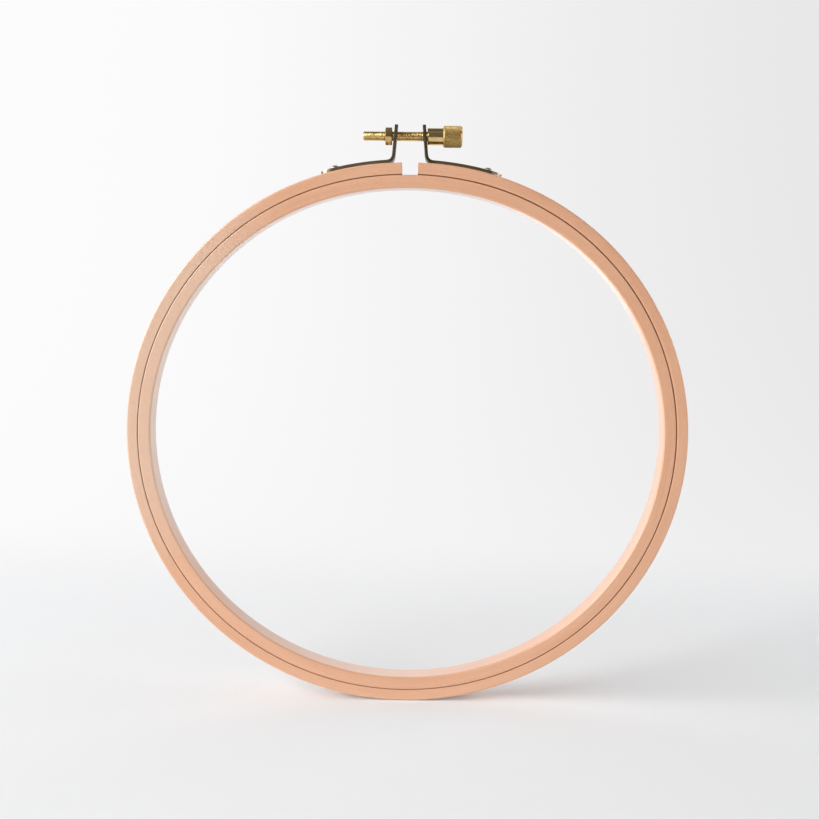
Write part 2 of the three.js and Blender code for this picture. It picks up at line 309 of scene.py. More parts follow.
def beech(name, s):
    finish = {
        "Roughness": s["roughness"],
        "IOR": s["refraction"],
        "Sheen Weight": s["sheen"],
        "Sheen Roughness": s["sheenRoughness"],
        "Coat Weight": s["coat"],
        "Coat Roughness": s["coatRoughness"],
    }
    material, tree, shader = newMaterial(name, finish)
    place = addNode(tree, "ShaderNodeAttribute", {"attribute_name": "stripPlace"})
    layer = addNode(tree, "ShaderNodeAttribute", {"attribute_name": "stripLayer"})
    # each part of the grain is noise drawn out along the strip
    noises, shares = {}, {}
    for part in ("lines", "patches", "flecks"):
        grain = s[part]
        along, across = 1 / (grain["length"] * mm), 1 / (grain["width"] * mm)
        stretched = addNode(
            tree,
            "ShaderNodeVectorMath",
            {"operation": "MULTIPLY", 1: (along, across, along)},
            {0: place.outputs["Vector"]},
        )
        depth = addNode(
            tree, "ShaderNodeMath", {"operation": "MULTIPLY", 1: across}, {0: layer.outputs["Fac"]}
        )
        texture = {"Scale": 1.0, "Detail": grain["detail"], "Roughness": s["grainRoughness"]}
        noise = addNode(
            tree,
            "ShaderNodeTexNoise",
            {"noise_dimensions": "4D", **texture},
            {"Vector": stretched.outputs["Vector"], "W": depth.outputs["Value"]},
        )
        share = addNode(
            tree,
            "ShaderNodeMapRange",
            {"From Min": grain["from"], "From Max": grain["to"], "To Max": grain["share"]},
            {"Value": noise.outputs["Fac"]},
        )
        noises[part] = noise.outputs["Fac"]
        shares[part] = share.outputs["Result"]
    darkShare = addNode(
        tree, "ShaderNodeMath", {"operation": "ADD"}, {0: shares["lines"], 1: shares["patches"]}
    )
    ground = addNode(
        tree,
        "ShaderNodeMix",
        {"data_type": "RGBA", 6: hexColor(s["light"]), 7: hexColor(s["dark"])},
        {0: darkShare.outputs["Value"]},
    )
    # the wood is paler towards the left side of the hoop
    leftward = addNode(
        tree,
        "ShaderNodeVectorMath",
        {"operation": "DOT_PRODUCT", 1: s["leftPaleWay"]},
        {0: place.outputs["Vector"]},
    )
    leftPaleShare = addNode(
        tree,
        "ShaderNodeMapRange",
        {
            "From Min": s["leftPaleFrom"] * mm,
            "From Max": s["leftPaleTo"] * mm,
            "To Max": s["leftPaleShare"],
            "interpolation_type": "SMOOTHSTEP",
        },
        {"Value": leftward.outputs["Value"]},
    )
    colour = ground.outputs[2]
    for tone, share in (("leftPale", leftPaleShare.outputs["Result"]), ("fleck", shares["flecks"])):
        over = {"data_type": "RGBA", 7: hexColor(s[tone])}
        colour = addNode(tree, "ShaderNodeMix", over, {0: share, 6: colour}).outputs[2]
    tree.links.new(colour, shader.inputs["Base Color"])
    relief = addNode(
        tree,
        "ShaderNodeBump",
        {"Strength": s["reliefStrength"], "Distance": s["reliefDepth"] * mm},
        {"Height": noises["lines"]},
    )
    tree.links.new(relief.outputs["Normal"], shader.inputs["Normal"])
    return material


# Mild steel, rolled and chemically bronzed: dark olive brown, satin, rubbed paler on the corners
bronzedSettings = {
    "ground": "#88704A",
    "tarnish": "#615038",
    "stripPale": "#A78558",
    "stripPaleFrom": 6.5,
    "stripPaleTo": 9.0,
    "stripPaleShare": 0.85,
    "rubbed": "#A39680",
    "rubbedFrom": 0.54,
    "rubbedTo": 0.66,
    "rubbedShare": 0.5,
    # this pale tone is a painted highlight on the strips near their far ends
    "paintedHighlight": "#EBDCC6",
    "reachMiddle": 0.45,
    "highlightFrom": (25.6, 26.6),
    "highlightTo": (28.0, 28.6),
    "roughness": (0.28, 0.44),
    "mottle": 2.5,
    "mottleDetail": {"Detail": 4, "Roughness": 0.6},
    "rollMarks": 0.3,
    "markDepth": 0.01,
    "markStrength": 0.25,
}


def bronzedSteel(name, s):
    material, tree, shader = newMaterial(name, {"Metallic": 1.0})
    where = addNode(tree, "ShaderNodeNewGeometry")
    mottle = addNode(
        tree,
        "ShaderNodeTexNoise",
        {"Scale": 1 / (s["mottle"] * mm), **s["mottleDetail"]},
        {"Vector": where.outputs["Position"]},
    )
    tarnished = addNode(
        tree,
        "ShaderNodeMix",
        {"data_type": "RGBA", 6: hexColor(s["ground"]), 7: hexColor(s["tarnish"])},
        {0: mottle.outputs["Fac"]},
    )
    place = addNode(tree, "ShaderNodeSeparateXYZ", None, {"Vector": where.outputs["Position"]})
    fromMiddle = addNode(
        tree,
        "ShaderNodeMath",
        {"operation": "SUBTRACT", 1: s["reachMiddle"] * mm},
        {0: place.outputs["X"]},
    )
    reach = addNode(
        tree, "ShaderNodeMath", {"operation": "ABSOLUTE"}, {0: fromMiddle.outputs["Value"]}
    )
    # the strips are paler than the ears
    stripPaleShare = addNode(
        tree,
        "ShaderNodeMapRange",
        {
            "From Min": s["stripPaleFrom"] * mm,
            "From Max": s["stripPaleTo"] * mm,
            "To Max": s["stripPaleShare"],
        },
        {"Value": reach.outputs["Value"]},
    )
    rubbedShare = addNode(
        tree,
        "ShaderNodeMapRange",
        {"From Min": s["rubbedFrom"], "From Max": s["rubbedTo"], "To Max": s["rubbedShare"]},
        {"Value": where.outputs["Pointiness"]},
    )
    # a painted highlight makes the strips bright a little short of their far ends
    highlightFrom = addNode(
        tree,
        "ShaderNodeMapRange",
        {"From Min": s["highlightFrom"][0] * mm, "From Max": s["highlightFrom"][1] * mm},
        {"Value": reach.outputs["Value"]},
    )
    highlightTo = addNode(
        tree,
        "ShaderNodeMapRange",
        {
            "From Min": s["highlightTo"][0] * mm,
            "From Max": s["highlightTo"][1] * mm,
            "To Min": 1.0,
            "To Max": 0.0,
        },
        {"Value": reach.outputs["Value"]},
    )
    highlightShare = addNode(
        tree,
        "ShaderNodeMath",
        {"operation": "MULTIPLY"},
        {0: highlightFrom.outputs["Result"], 1: highlightTo.outputs["Result"]},
    )
    colour = tarnished.outputs[2]
    for tone, share in (
        ("stripPale", stripPaleShare.outputs["Result"]),
        ("rubbed", rubbedShare.outputs["Result"]),
        ("paintedHighlight", highlightShare.outputs["Value"]),
    ):
        over = {"data_type": "RGBA", 7: hexColor(s[tone])}
        colour = addNode(tree, "ShaderNodeMix", over, {0: share, 6: colour}).outputs[2]
    tree.links.new(colour, shader.inputs["Base Color"])
    gloss = addNode(
        tree,
        "ShaderNodeMapRange",
        {"To Min": s["roughness"][0], "To Max": s["roughness"][1]},
        {"Value": mottle.outputs["Fac"]},
    )
    tree.links.new(gloss.outputs["Result"], shader.inputs["Roughness"])
    marks = addNode(
        tree,
        "ShaderNodeTexNoise",
        {"Scale": 1 / (s["rollMarks"] * mm), "Detail": 2},
        {"Vector": where.outputs["Position"]},
    )
    relief = addNode(
        tree,
        "ShaderNodeBump",
        {"Strength": s["markStrength"], "Distance": s["markDepth"] * mm},
        {"Height": marks.outputs["Fac"]},
    )
    tree.links.new(relief.outputs["Normal"], shader.inputs["Normal"])
    return material


# Brass, turned on a lathe and left bare: warm yellow, with fine rings round the axis and dull patches
brassSettings = {
    "bright": "#E9CC8E",
    "dull": "#B0955F",
    "dullFrom": 0.35,
    "dullTo": 0.75,
    "dullness": (0.0, 0.5),
    "roughness": (0.14, 0.27),
    "tarnish": 3.0,
    "tarnishDetail": {"Detail": 4, "Roughness": 0.6},
    "ringSpacing": 0.12,
    "ringWaver": 0.4,
    "ringDepth": 0.01,
    "ringStrength": 0.2,
}

# The head's knurl is matt, and the nut a little duller than the screw
knurlSettings = {**brassSettings, "dullness": (0.75, 1.0), "roughness": (0.51, 0.64)}
nutBrassSettings = {**brassSettings, "dullness": (0.3, 0.8), "roughness": (0.1, 0.23)}


def turnedBrass(name, s):
    material, tree, shader = newMaterial(name, {"Metallic": 1.0})
    where = addNode(tree, "ShaderNodeNewGeometry")
    tarnish = addNode(
        tree,
        "ShaderNodeTexNoise",
        {"Scale": 1 / (s["tarnish"] * mm), **s["tarnishDetail"]},
        {"Vector": where.outputs["Position"]},
    )
    share = addNode(
        tree,
        "ShaderNodeMapRange",
        {
            "From Min": s["dullFrom"],
            "From Max": s["dullTo"],
            "To Min": s["dullness"][0],
            "To Max": s["dullness"][1],
        },
        {"Value": tarnish.outputs["Fac"]},
    )
    colour = addNode(
        tree,
        "ShaderNodeMix",
        {"data_type": "RGBA", 6: hexColor(s["bright"]), 7: hexColor(s["dull"])},
        {0: share.outputs["Result"]},
    )
    tree.links.new(colour.outputs[2], shader.inputs["Base Color"])
    rough = addNode(
        tree,
        "ShaderNodeMapRange",
        {"To Min": s["roughness"][0], "To Max": s["roughness"][1]},
        {"Value": tarnish.outputs["Fac"]},
    )
    tree.links.new(rough.outputs["Result"], shader.inputs["Roughness"])
    # the turning marks are finer on the real screw; they are drawn this coarse so that they show
    # a wave texture of scale 1 repeats after a tenth of pi
    rings = addNode(
        tree,
        "ShaderNodeTexWave",
        {
            "bands_direction": "X",
            "Scale": math.pi / 10 / (s["ringSpacing"] * mm),
            "Distortion": s["ringWaver"],
            "Detail": 1,
        },
        {"Vector": where.outputs["Position"]},
    )
    relief = addNode(
        tree,
        "ShaderNodeBump",
        {"Strength": s["ringStrength"], "Distance": s["ringDepth"] * mm},
        {"Height": rings.outputs["Fac"]},
    )
    tree.links.new(relief.outputs["Normal"], shader.inputs["Normal"])
    return material


# Steel, nickelled and cold-headed: pale warm grey, satin, with small dents from the setting punch
nickelSettings = {
    "bright": "#DAD7D0",
    "dull": "#B5B0A7",
    "roughness": 0.48,
    "dents": 0.5,
    "dentDepth": 0.03,
    "dentStrength": 0.4,
}


def nickelledSteel(name, s):
    material, tree, shader = newMaterial(name, {"Metallic": 1.0, "Roughness": s["roughness"]})
    where = addNode(tree, "ShaderNodeNewGeometry")
    dents = addNode(
        tree,
        "ShaderNodeTexNoise",
        {"Scale": 1 / (s["dents"] * mm), "Detail": 2},
        {"Vector": where.outputs["Position"]},
    )
    colour = addNode(
        tree,
        "ShaderNodeMix",
        {"data_type": "RGBA", 6: hexColor(s["bright"]), 7: hexColor(s["dull"])},
        {0: dents.outputs["Fac"]},
    )
    tree.links.new(colour.outputs[2], shader.inputs["Base Color"])
    relief = addNode(
        tree,
        "ShaderNodeBump",
        {"Strength": s["dentStrength"], "Distance": s["dentDepth"] * mm},
        {"Height": dents.outputs["Fac"]},
    )
    tree.links.new(relief.outputs["Normal"], shader.inputs["Normal"])
    return material


outerBeech = beech("outerBeech", beechSettings)
innerBeech = beech("innerBeech", beechSettings)
seamBeech = beech("seamBeech", seamSettings)
bracketSteel = bronzedSteel("bronzedBracketSteel", bronzedSettings)
screwBrass = turnedBrass("turnedScrewBrass", brassSettings)
knurlBrass = turnedBrass("knurledHeadBrass", knurlSettings)
nutBrass = turnedBrass("machinedNutBrass", nutBrassSettings)
rivetNickel = nickelledSteel("nickelledRivetSteel", nickelSettings)
print("materials made")


# The two rings: bent strips of beech with eased edges

ringSettings = {
    "steps": 720,
    "seamEdge": 0.32,
    "seamGap": 0.15,
    "seamReach": 0.26,
    "innerShift": (-0.07, -0.04),
    "openEdge": 0.6,
    "leastEdge": 0.05,
    "edgeSteps": 5,
    "flatMargin": 0.12,
    "endEasing": 0.12,
    "endSteps": 4,
}


def bandSection(inside, outside, seamIsOutside, inset):
    # the outline of a strip's section as (offset from the seam, depth) pairs, drawn in by inset
    s = ringSettings
    half = hoopShape["depth"] / 2 - inset
    low, high = inside + inset, outside - inset
    lowEdge = s["openEdge"] if seamIsOutside else s["seamEdge"]
    highEdge = s["seamEdge"] if seamIsOutside else s["openEdge"]
    lowEdge = max(lowEdge - inset, s["leastEdge"])
    highEdge = max(highEdge - inset, s["leastEdge"])
    corners = [
        (high, half, highEdge, 0),
        (low, half, lowEdge, 90),
        (low, -half, lowEdge, 180),
        (high, -half, highEdge, 270),
    ]
    outline = []
    for x, y, radius, start in corners:
        centre = (x - math.copysign(radius, x - (low + high) / 2), y - math.copysign(radius, y))
        bend = arc(centre, radius, start, start + 90, s["edgeSteps"])
        lead = math.radians(start)
        tail = math.radians(start + 90)
        margin = s["flatMargin"]
        before = (bend[0][0] + margin * math.sin(lead), bend[0][1] - margin * math.cos(lead))
        after = (bend[-1][0] - margin * math.sin(tail), bend[-1][1] + margin * math.cos(tail))
        outline += [before, *bend, after]
    return outline


def bandPiece(name, stations, inside, outside, seamIsOutside, closed):
    # a strip swept round the oval; stations are (angle, inset) pairs
    points, places, layers = [], [], []
    radius = hoopShape["seamWidth"] / 2
    for angle, inset in stations:
        for offset, depth in bandSection(inside, outside, seamIsOutside, inset):
            x, z = ovalPoint(angle, offset)
            points.append((x, depth, z))
            # the grain's place runs round a circle, so that it meets itself without a step
            places.append((radius * mm * math.cos(angle), depth * mm, radius * mm * math.sin(angle)))
            layers.append(offset * mm)
    columns = len(points) // len(stations)
    faces = gridFaces(len(stations), columns, closeRows=closed, closeColumns=True)
    if not closed:
        faces.append(tuple(range(columns)))
        faces.append(tuple(range(len(points) - columns, len(points))))
    attributes = {"stripPlace": ("FLOAT_VECTOR", places), "stripLayer": ("FLOAT", layers)}
    return makePiece(name, points, faces, smoothAngle=40, attributes=attributes)


def finishRing(ring, wood):
    # the strip's own finish, and the matt one on what lies within a short reach of the seam
    mesh = ring.data
    mesh.materials.append(wood)
    mesh.materials.append(seamBeech)
    layers = [item.value for item in mesh.attributes["stripLayer"].data]
    for face in mesh.polygons:
        if max(abs(layers[v]) for v in face.vertices) < ringSettings["seamReach"] * mm:
            face.material_index = 1


def outerRing():
    s = ringSettings
    half = math.pi / 2 - angleAt(hoopShape["splitGap"] / 2, 0)
    start, end = math.pi / 2 + half, math.pi * 2.5 - half
    # the cut ends are eased by a quarter round; near the split a radian is half of the seam's width long
    ease = s["endEasing"]
    easeAngle = ease / (hoopShape["seamWidth"] / 2)
    easing = []
    for i in range(s["endSteps"] + 1):
        turn = math.pi / 2 * i / s["endSteps"]
        easing.append((easeAngle * (1 - math.cos(turn)), ease * (1 - math.sin(turn))))
    stations = [(start + along, inset) for along, inset in easing]
    first, last = start + 2 * easeAngle, end - 2 * easeAngle
    stations += [(first + (last - first) * i / s["steps"], 0.0) for i in range(s["steps"] + 1)]
    stations += [(end - along, inset) for along, inset in reversed(easing)]
    ring = bandPiece("outerRing", stations, s["seamGap"] / 2, outerFace, False, False)
    finishRing(ring, outerBeech)
    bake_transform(ring)
    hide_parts("outer_ring")


def innerRing():
    s = ringSettings
    stations = [(2 * math.pi * i / s["steps"], 0.0) for i in range(s["steps"])]
    ring = bandPiece("innerRing", stations, innerFace, -s["seamGap"] / 2, True, True)
    # it leans against the lower left of the outer ring, which leaves the seam wider at the upper right
    ring.data.transform(Matrix.Translation(Vector((s["innerShift"][0], 0, s["innerShift"][1])) * mm))
    finishRing(ring, innerBeech)
    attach(ring, "inner_hoop")
    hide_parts("inner_ring")


outerRing()
innerRing()
print("rings made")


# The brackets: one strip of sheet each, lying on the ring and bent up into an ear

bracketSettings = {
    "sheet": 1.02,
    "width": 6.0,
    "edgeBreak": 0.2,
    "stripReach": {-1: 28.9, 1: 29.8},  # on the left and on the right side
    "stripEndRadius": 2.7,
    "earFootReach": 5.5,
    "earWaistReach": 4.93,
    "earTopReach": 4.45,
    "earWaistHeight": 6.8,
    "earCornerRadius": 2.2,
    "bendLeg": 2.3,
    "seat": 0.05,
    "earHoleRadius": 2.0,
    "rivetHoleRadius": 1.1,
    "columns": 10,
    "lengthSteps": 110,
    "roundSteps": 10,
    "stripSteps": 60,
    "bendSteps": 18,
    "earSteps": 40,
    "edgeBreakSteps": 3,
    "edgeAngle": 50,
}

stripMiddle = outerFace + bracketSettings["seat"] + bracketSettings["sheet"] / 2
stripOutside = stripMiddle + bracketSettings["sheet"] / 2


def quadratic(start, control, end, steps):
    # points along a quadratic curve, the first left out
    made = []
    for i in range(1, steps + 1):
        t = i / steps
        made.append(start * (1 - t) ** 2 + control * 2 * t * (1 - t) + end * t**2)
    return made


def bracketPath(side):
    # the middle line of the sheet, from the strip's end over the bend to the ear's top
    s = bracketSettings
    earTop = Vector((s["earTopReach"], earTopZ))
    stripEnd = angleAt(s["stripReach"][side], stripMiddle)
    bendStart = angleAt(s["earFootReach"] + s["bendLeg"], stripMiddle)
    path = []
    for i in range(s["stripSteps"] + 1):
        angle = stripEnd + (bendStart - stripEnd) * i / s["stripSteps"]
        path.append(Vector(ovalPoint(angle, stripMiddle)))
    corner = Vector(ovalPoint(angleAt(s["earFootReach"], stripMiddle), stripMiddle))
    waist = Vector((s["earWaistReach"], ringTopZ + s["earWaistHeight"]))
    foot = corner + (waist - corner).normalized() * s["bendLeg"]
    path += quadratic(path[-1], corner, foot, s["bendSteps"])
    path += quadratic(foot, waist, earTop, s["earSteps"])
    return path


def lengthsAlong(path):
    # how far along the path each point lies
    lengths = [0.0]
    for before, after in zip(path, path[1:]):
        lengths.append(lengths[-1] + (after - before).length)
    return lengths


def pathAt(path, lengths, distance):
    # a point of the path and its left-hand normal, at a distance along it
    i = max(1, next((k for k, far in enumerate(lengths) if far >= distance), len(path) - 1))
    share = (distance - lengths[i - 1]) / (lengths[i] - lengths[i - 1])
    point = path[i - 1].lerp(path[i], share)
    before = path[max(0, i - 2)]
    after = path[min(len(path) - 1, i + 1)]
    along = (after - before).normalized()
    return point, Vector((-along.y, along.x))


def halfWidthAt(distance, total):
    # half of the sheet's width, rounded off towards the strip's end and the ear's top
    s = bracketSettings
    half = s["width"] / 2
    for reach, radius in ((distance, s["stripEndRadius"]), (total - distance, s["earCornerRadius"])):
        if reach < radius:
            return half - radius + math.sqrt(max(0.0, radius**2 - (radius - reach) ** 2))
    return half


def rivetPlace(side):
    # where a rivet stands: its point on the seam and the way out along the oval's normal
    reach = bracketSettings["stripReach"][side] - rivetSettings["setback"]
    angle = angleAt(reach, outerFace)
    x, z = ovalPoint(angle, 0)
    outX, outZ = ovalPoint(angle, 1)
    return Vector((side * x, 0, z)), Vector((side * (outX - x), 0, outZ - z)).normalized()


def cylinderBetween(name, start, end, radius, segments=64):
    # a closed cylinder between two points at one depth, used to pierce a piece
    axis = (end - start).normalized()
    first = axis.cross(Vector((0, 1, 0))).normalized()
    second = axis.cross(first)
    points = []
    for place in (start, end):
        for k in range(segments):
            angle = 2 * math.pi * k / segments
            points.append(place + (first * math.cos(angle) + second * math.sin(angle)) * radius)
    faces = gridFaces(2, segments, closeColumns=True)
    faces.append(tuple(range(segments)))
    faces.append(tuple(range(segments, 2 * segments)))
    return makePiece(name, points, faces)


def bracket(name, side, body, node):
    s = bracketSettings
    path = bracketPath(side)
    lengths = lengthsAlong(path)
    total = lengths[-1]
    # rows of points lie closer together where the strip's end and the ear's top are rounded
    rounding = [1 - math.cos(math.pi / 2 * i / s["roundSteps"]) for i in range(s["roundSteps"])]
    span = total - s["stripEndRadius"] - s["earCornerRadius"]
    distances = [s["stripEndRadius"] * share for share in rounding]
    for i in range(s["lengthSteps"] + 1):
        distances.append(s["stripEndRadius"] + span * i / s["lengthSteps"])
    distances += [total - s["earCornerRadius"] * share for share in reversed(rounding)]
    points = []
    for distance in distances:
        point, normal = pathAt(path, lengths, distance)
        half = halfWidthAt(distance, total)
        ring = []
        for face in (-1, 1):
            edge = point + normal * face * s["sheet"] / 2
            across = [half * (2 * k / s["columns"] - 1) for k in range(s["columns"] + 1)]
            if face > 0:
                across.reverse()
            ring += [(side * edge.x, y, edge.y) for y in across]
        points += ring
    columns = 2 * (s["columns"] + 1)
    faces = gridFaces(len(distances), columns, closeColumns=True)
    faces.append(tuple(range(columns)))
    faces.append(tuple(range(len(points) - columns, len(points))))
    piece = makePiece(name, points, faces)
    hole = cylinderBetween(
        name + "ScrewHole",
        Vector((0, 0, screwZ)),
        Vector((side * (s["earFootReach"] + s["bendLeg"]), 0, screwZ)),
        s["earHoleRadius"],
    )
    combine(piece, hole, "DIFFERENCE")
    seat, out = rivetPlace(side)
    hole = cylinderBetween(
        name + "RivetHole", seat + out * outerFace, seat + out * (stripOutside + 1), s["rivetHoleRadius"]
    )
    combine(piece, hole, "DIFFERENCE")
    edgeBreak = piece.modifiers.new("edgeBreak", "BEVEL")
    edgeBreak.width = s["edgeBreak"] * mm
    edgeBreak.segments = s["edgeBreakSteps"]
    edgeBreak.limit_method = "ANGLE"
    edgeBreak.angle_limit = math.radians(s["edgeAngle"])
    applyModifiers(piece)
    cleanMesh(piece.data)
    shadeMesh(piece.data, smoothAngle=40)
    piece.data.materials.clear()
    piece.data.materials.append(bracketSteel)
    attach(piece, body)
    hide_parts(node)


# The rivets: a domed head on the strip and a clinched end inside the ring

rivetSettings = {
    "setback": 4.6,
    "shank": 0.8,
    "head": 1.45,
    "headHeight": 1.05,
    "headRim": 0.12,
    "headBreak": 0.05,
    "domeSteps": 10,
    "clinch": 1.3,
    "clinchThickness": 0.45,
    # height above or below the clinched end's face, and share of its radius
    "clinchCrown": ((0.0, 0.0), (0.0, 0.45), (0.08, 0.85), (0.2, 1.0)),
    "clinchBack": ((0.08, 1.0), (0.0, 0.93)),
    "clinchInset": 0.1,
    "seat": 0.04,
    "segments": 48,
}


def rivetProfile():
    # (height, radius) pairs, from the middle of the clinched end to the top of the head
    s = rivetSettings
    bottom = hoopShape["seamClearance"] / 2 + s["clinchInset"]
    top = bottom + s["clinchThickness"]
    headSeat = stripOutside + s["seat"]
    profile = [(bottom + rise, s["clinch"] * share) for rise, share in s["clinchCrown"]]
    profile += [(top - drop, s["clinch"] * share) for drop, share in s["clinchBack"]]
    profile += [(top, s["shank"]), (headSeat, s["shank"]), (headSeat, s["head"] - s["headBreak"])]
    profile += [(headSeat + s["headBreak"], s["head"]), (headSeat + s["headRim"], s["head"])]
    for i in range(1, s["domeSteps"] + 1):
        angle = math.pi / 2 * i / s["domeSteps"]
        rise = (s["headHeight"] - s["headRim"]) * math.sin(angle)
        profile.append((headSeat + s["headRim"] + rise, s["head"] * math.cos(angle)))
    return profile


def rivet(name, side, body, node):
    s = rivetSettings
    profile = rivetProfile()
    seat, out = rivetPlace(side)
    sideways = out.cross(Vector((0, 1, 0)))
    points = [seat + out * profile[0][0]]
    for along, radius in profile[1:-1]:
        for k in range(s["segments"]):
            angle = 2 * math.pi * k / s["segments"]
            spoke = Vector((0, 1, 0)) * math.cos(angle) + sideways * math.sin(angle)
            points.append(seat + out * along + spoke * radius)
    points.append(seat + out * profile[-1][0])
    faces = spindleFaces(len(profile) - 2, s["segments"])
    piece = makePiece(name, points, faces, smoothAngle=40)
    piece.data.materials.append(rivetNickel)
    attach(piece, body)
    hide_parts(node)


bracket("leftBracket", -1, "left_arm", "left_bracket")
bracket("rightBracket", 1, "outer_hoop", "right_bracket")
rivet("leftRivet", -1, "left_arm", "left_rivet")
rivet("rightRivet", 1, "outer_hoop", "right_rivet")
print("brackets and rivets made")


# The thumb screw: threaded shank, polished neck and diamond-knurled head with a slot

screwSettings = {
    "shankRadius": 1.56,
    "pitch": 0.5,
    "threadDepth": 0.16,
    "threadSegments": 48,
    "stepsPerPitch": 12,
    # shares of half a pitch, from the middle of the root towards the crest
    "rootShare": 0.12,
    "flankShare": 0.72,
    "endChamfer": 0.4,
    "shankInNeck": 0.5,
    "neckRadius": 2.7,
    "neckLength": 5.05,
    "neckChamfer": 0.3,
    "neckChamferSteps": 4,
    "neckSegments": 128,
    "headRadius": 3.45,
    "headLength": 6.3,
    "headChamfer": 0.45,
    "headDome": 0.2,
    "domeSteps": 5,
    "knurlDepth": 0.2,
    "knurlsAround": 34,
    "knurlRows": 16,
    "knurlFineness": 4,
    "knurlFlat": 0.25,
    # how many rows of grooves it takes at either end for them to reach their depth
    "knurlRunIn": 0.5,
    "mattFrom": 3.05,
    "slotWidth": 1.0,
    "slotDepth": 0.9,
    "slotTurn": 17.0,
}

headStart = screwHigh.x - screwSettings["headLength"]
neckStart = headStart - screwSettings["neckLength"]


def aroundScrew(along, radius, angle):
    # a point at an angle round the screw's axis
    return along, radius * math.cos(angle), screwZ + radius * math.sin(angle)


def threadRadius(along):
    # the radius of a standard thread's section, along one pitch counted from a crest
    s = screwSettings
    share = abs((along / s["pitch"]) % 1 - 0.5) * 2
    flank = min(1.0, max(0.0, (share - s["rootShare"]) / s["flankShare"]))
    return s["shankRadius"] - s["threadDepth"] * (1 - flank)


def threadedShank(end):
    # rows of points follow the helix of a right-hand thread; those past either end are drawn back onto it
    s = screwSettings
    start = screwLow.x
    perPitch = s["stepsPerPitch"]
    step = s["pitch"] / perPitch
    count = s["threadSegments"]
    rows = int((end - start) / step) + 2 * perPitch + 2
    points = []
    for r in range(rows):
        for k in range(count):
            along = (r - perPitch - 1 + k * perPitch / count) * step
            held = min(max(along, 0.0), end - start)
            radius = threadRadius(held - k * s["pitch"] / count)
            radius = min(radius, s["shankRadius"] - s["endChamfer"] + held)
            points.append(aroundScrew(start + held, radius, 2 * math.pi * k / count))
    faces = []
    for r in range(rows - 1):
        for k in range(count):
            after = (r, k + 1) if k + 1 < count else (r + perPitch, 0)
            if after[0] + 1 < rows:
                a = r * count + k
                b = after[0] * count + after[1]
                faces.append((a, b, b + count, a + count))
    piece = makePiece("threadedShank", points, faces)
    capOpenEnds(piece.data)
    return piece


def capOpenEnds(mesh):
    # closes each open loop of edges with one face
    work = bmesh.new()
    work.from_mesh(mesh)
    loose = [v for v in work.verts if not v.link_faces]
    bmesh.ops.delete(work, geom=loose, context="VERTS")
    rim = [e for e in work.edges if e.is_boundary]
    bmesh.ops.holes_fill(work, edges=rim, sides=0)
    bmesh.ops.recalc_face_normals(work, faces=work.faces)
    work.to_mesh(mesh)
    work.free()


def knurledHead():
    # two crossing sets of grooves leave small pyramids with flattened tips
    s = screwSettings
    around = s["knurlsAround"] * 2 * s["knurlFineness"]
    rows = s["knurlRows"] * s["knurlFineness"]
    knurlStart, knurlEnd = s["headChamfer"], s["headLength"] - s["headDome"] - s["headChamfer"]
    endRadius = s["headRadius"] - s["headChamfer"]
    levels = [(0.0, endRadius, 0.0, 0)]
    for j in range(rows + 1):
        along = knurlStart + (knurlEnd - knurlStart) * j / rows
        fade = min(1.0, min(j, rows - j) / (s["knurlRunIn"] * s["knurlFineness"]))
        levels.append((along, s["headRadius"], fade, j))
    for i in range(s["domeSteps"]):
        radius = endRadius * math.cos(math.pi / 2 * i / s["domeSteps"])
        rise = s["headDome"] * (1 - (radius / endRadius) ** 2)
        levels.append((s["headLength"] - s["headDome"] + rise, radius, 0.0, 0))
    points = [(headStart, 0, screwZ)]
    for along, radius, fade, j in levels:
        for i in range(around):
            u, v = i / s["knurlFineness"], j / s["knurlFineness"]
            first = abs((u + v) / 2 % 1 - 0.5) * 2
            second = abs((u - v) / 2 % 1 - 0.5) * 2
            height = min(1 - s["knurlFlat"], first, second) / (1 - s["knurlFlat"])
            distance = radius - fade * s["knurlDepth"] * (1 - height)
            points.append(aroundScrew(headStart + along, distance, 2 * math.pi * i / around))
    points.append((headStart + s["headLength"], 0, screwZ))
    return makePiece("knurledHead", points, spindleFaces(len(levels), around))


def screwNeck():
    # a plain cylinder with a rounded edge towards the ear, sunk into the head
    s = screwSettings
    edge = s["neckChamfer"]
    neckEnd = headStart + s["headChamfer"]
    bend = (neckStart + edge, s["neckRadius"] - edge)
    profile = arc(bend, edge, 180, 90, s["neckChamferSteps"])
    profile.append((neckEnd, s["neckRadius"]))
    points = [(neckStart, 0, screwZ)]
    for along, radius in profile:
        for k in range(s["neckSegments"]):
            points.append(aroundScrew(along, radius, 2 * math.pi * k / s["neckSegments"]))
    points.append((neckEnd, 0, screwZ))
    return makePiece("screwNeck", points, spindleFaces(len(profile), s["neckSegments"]))


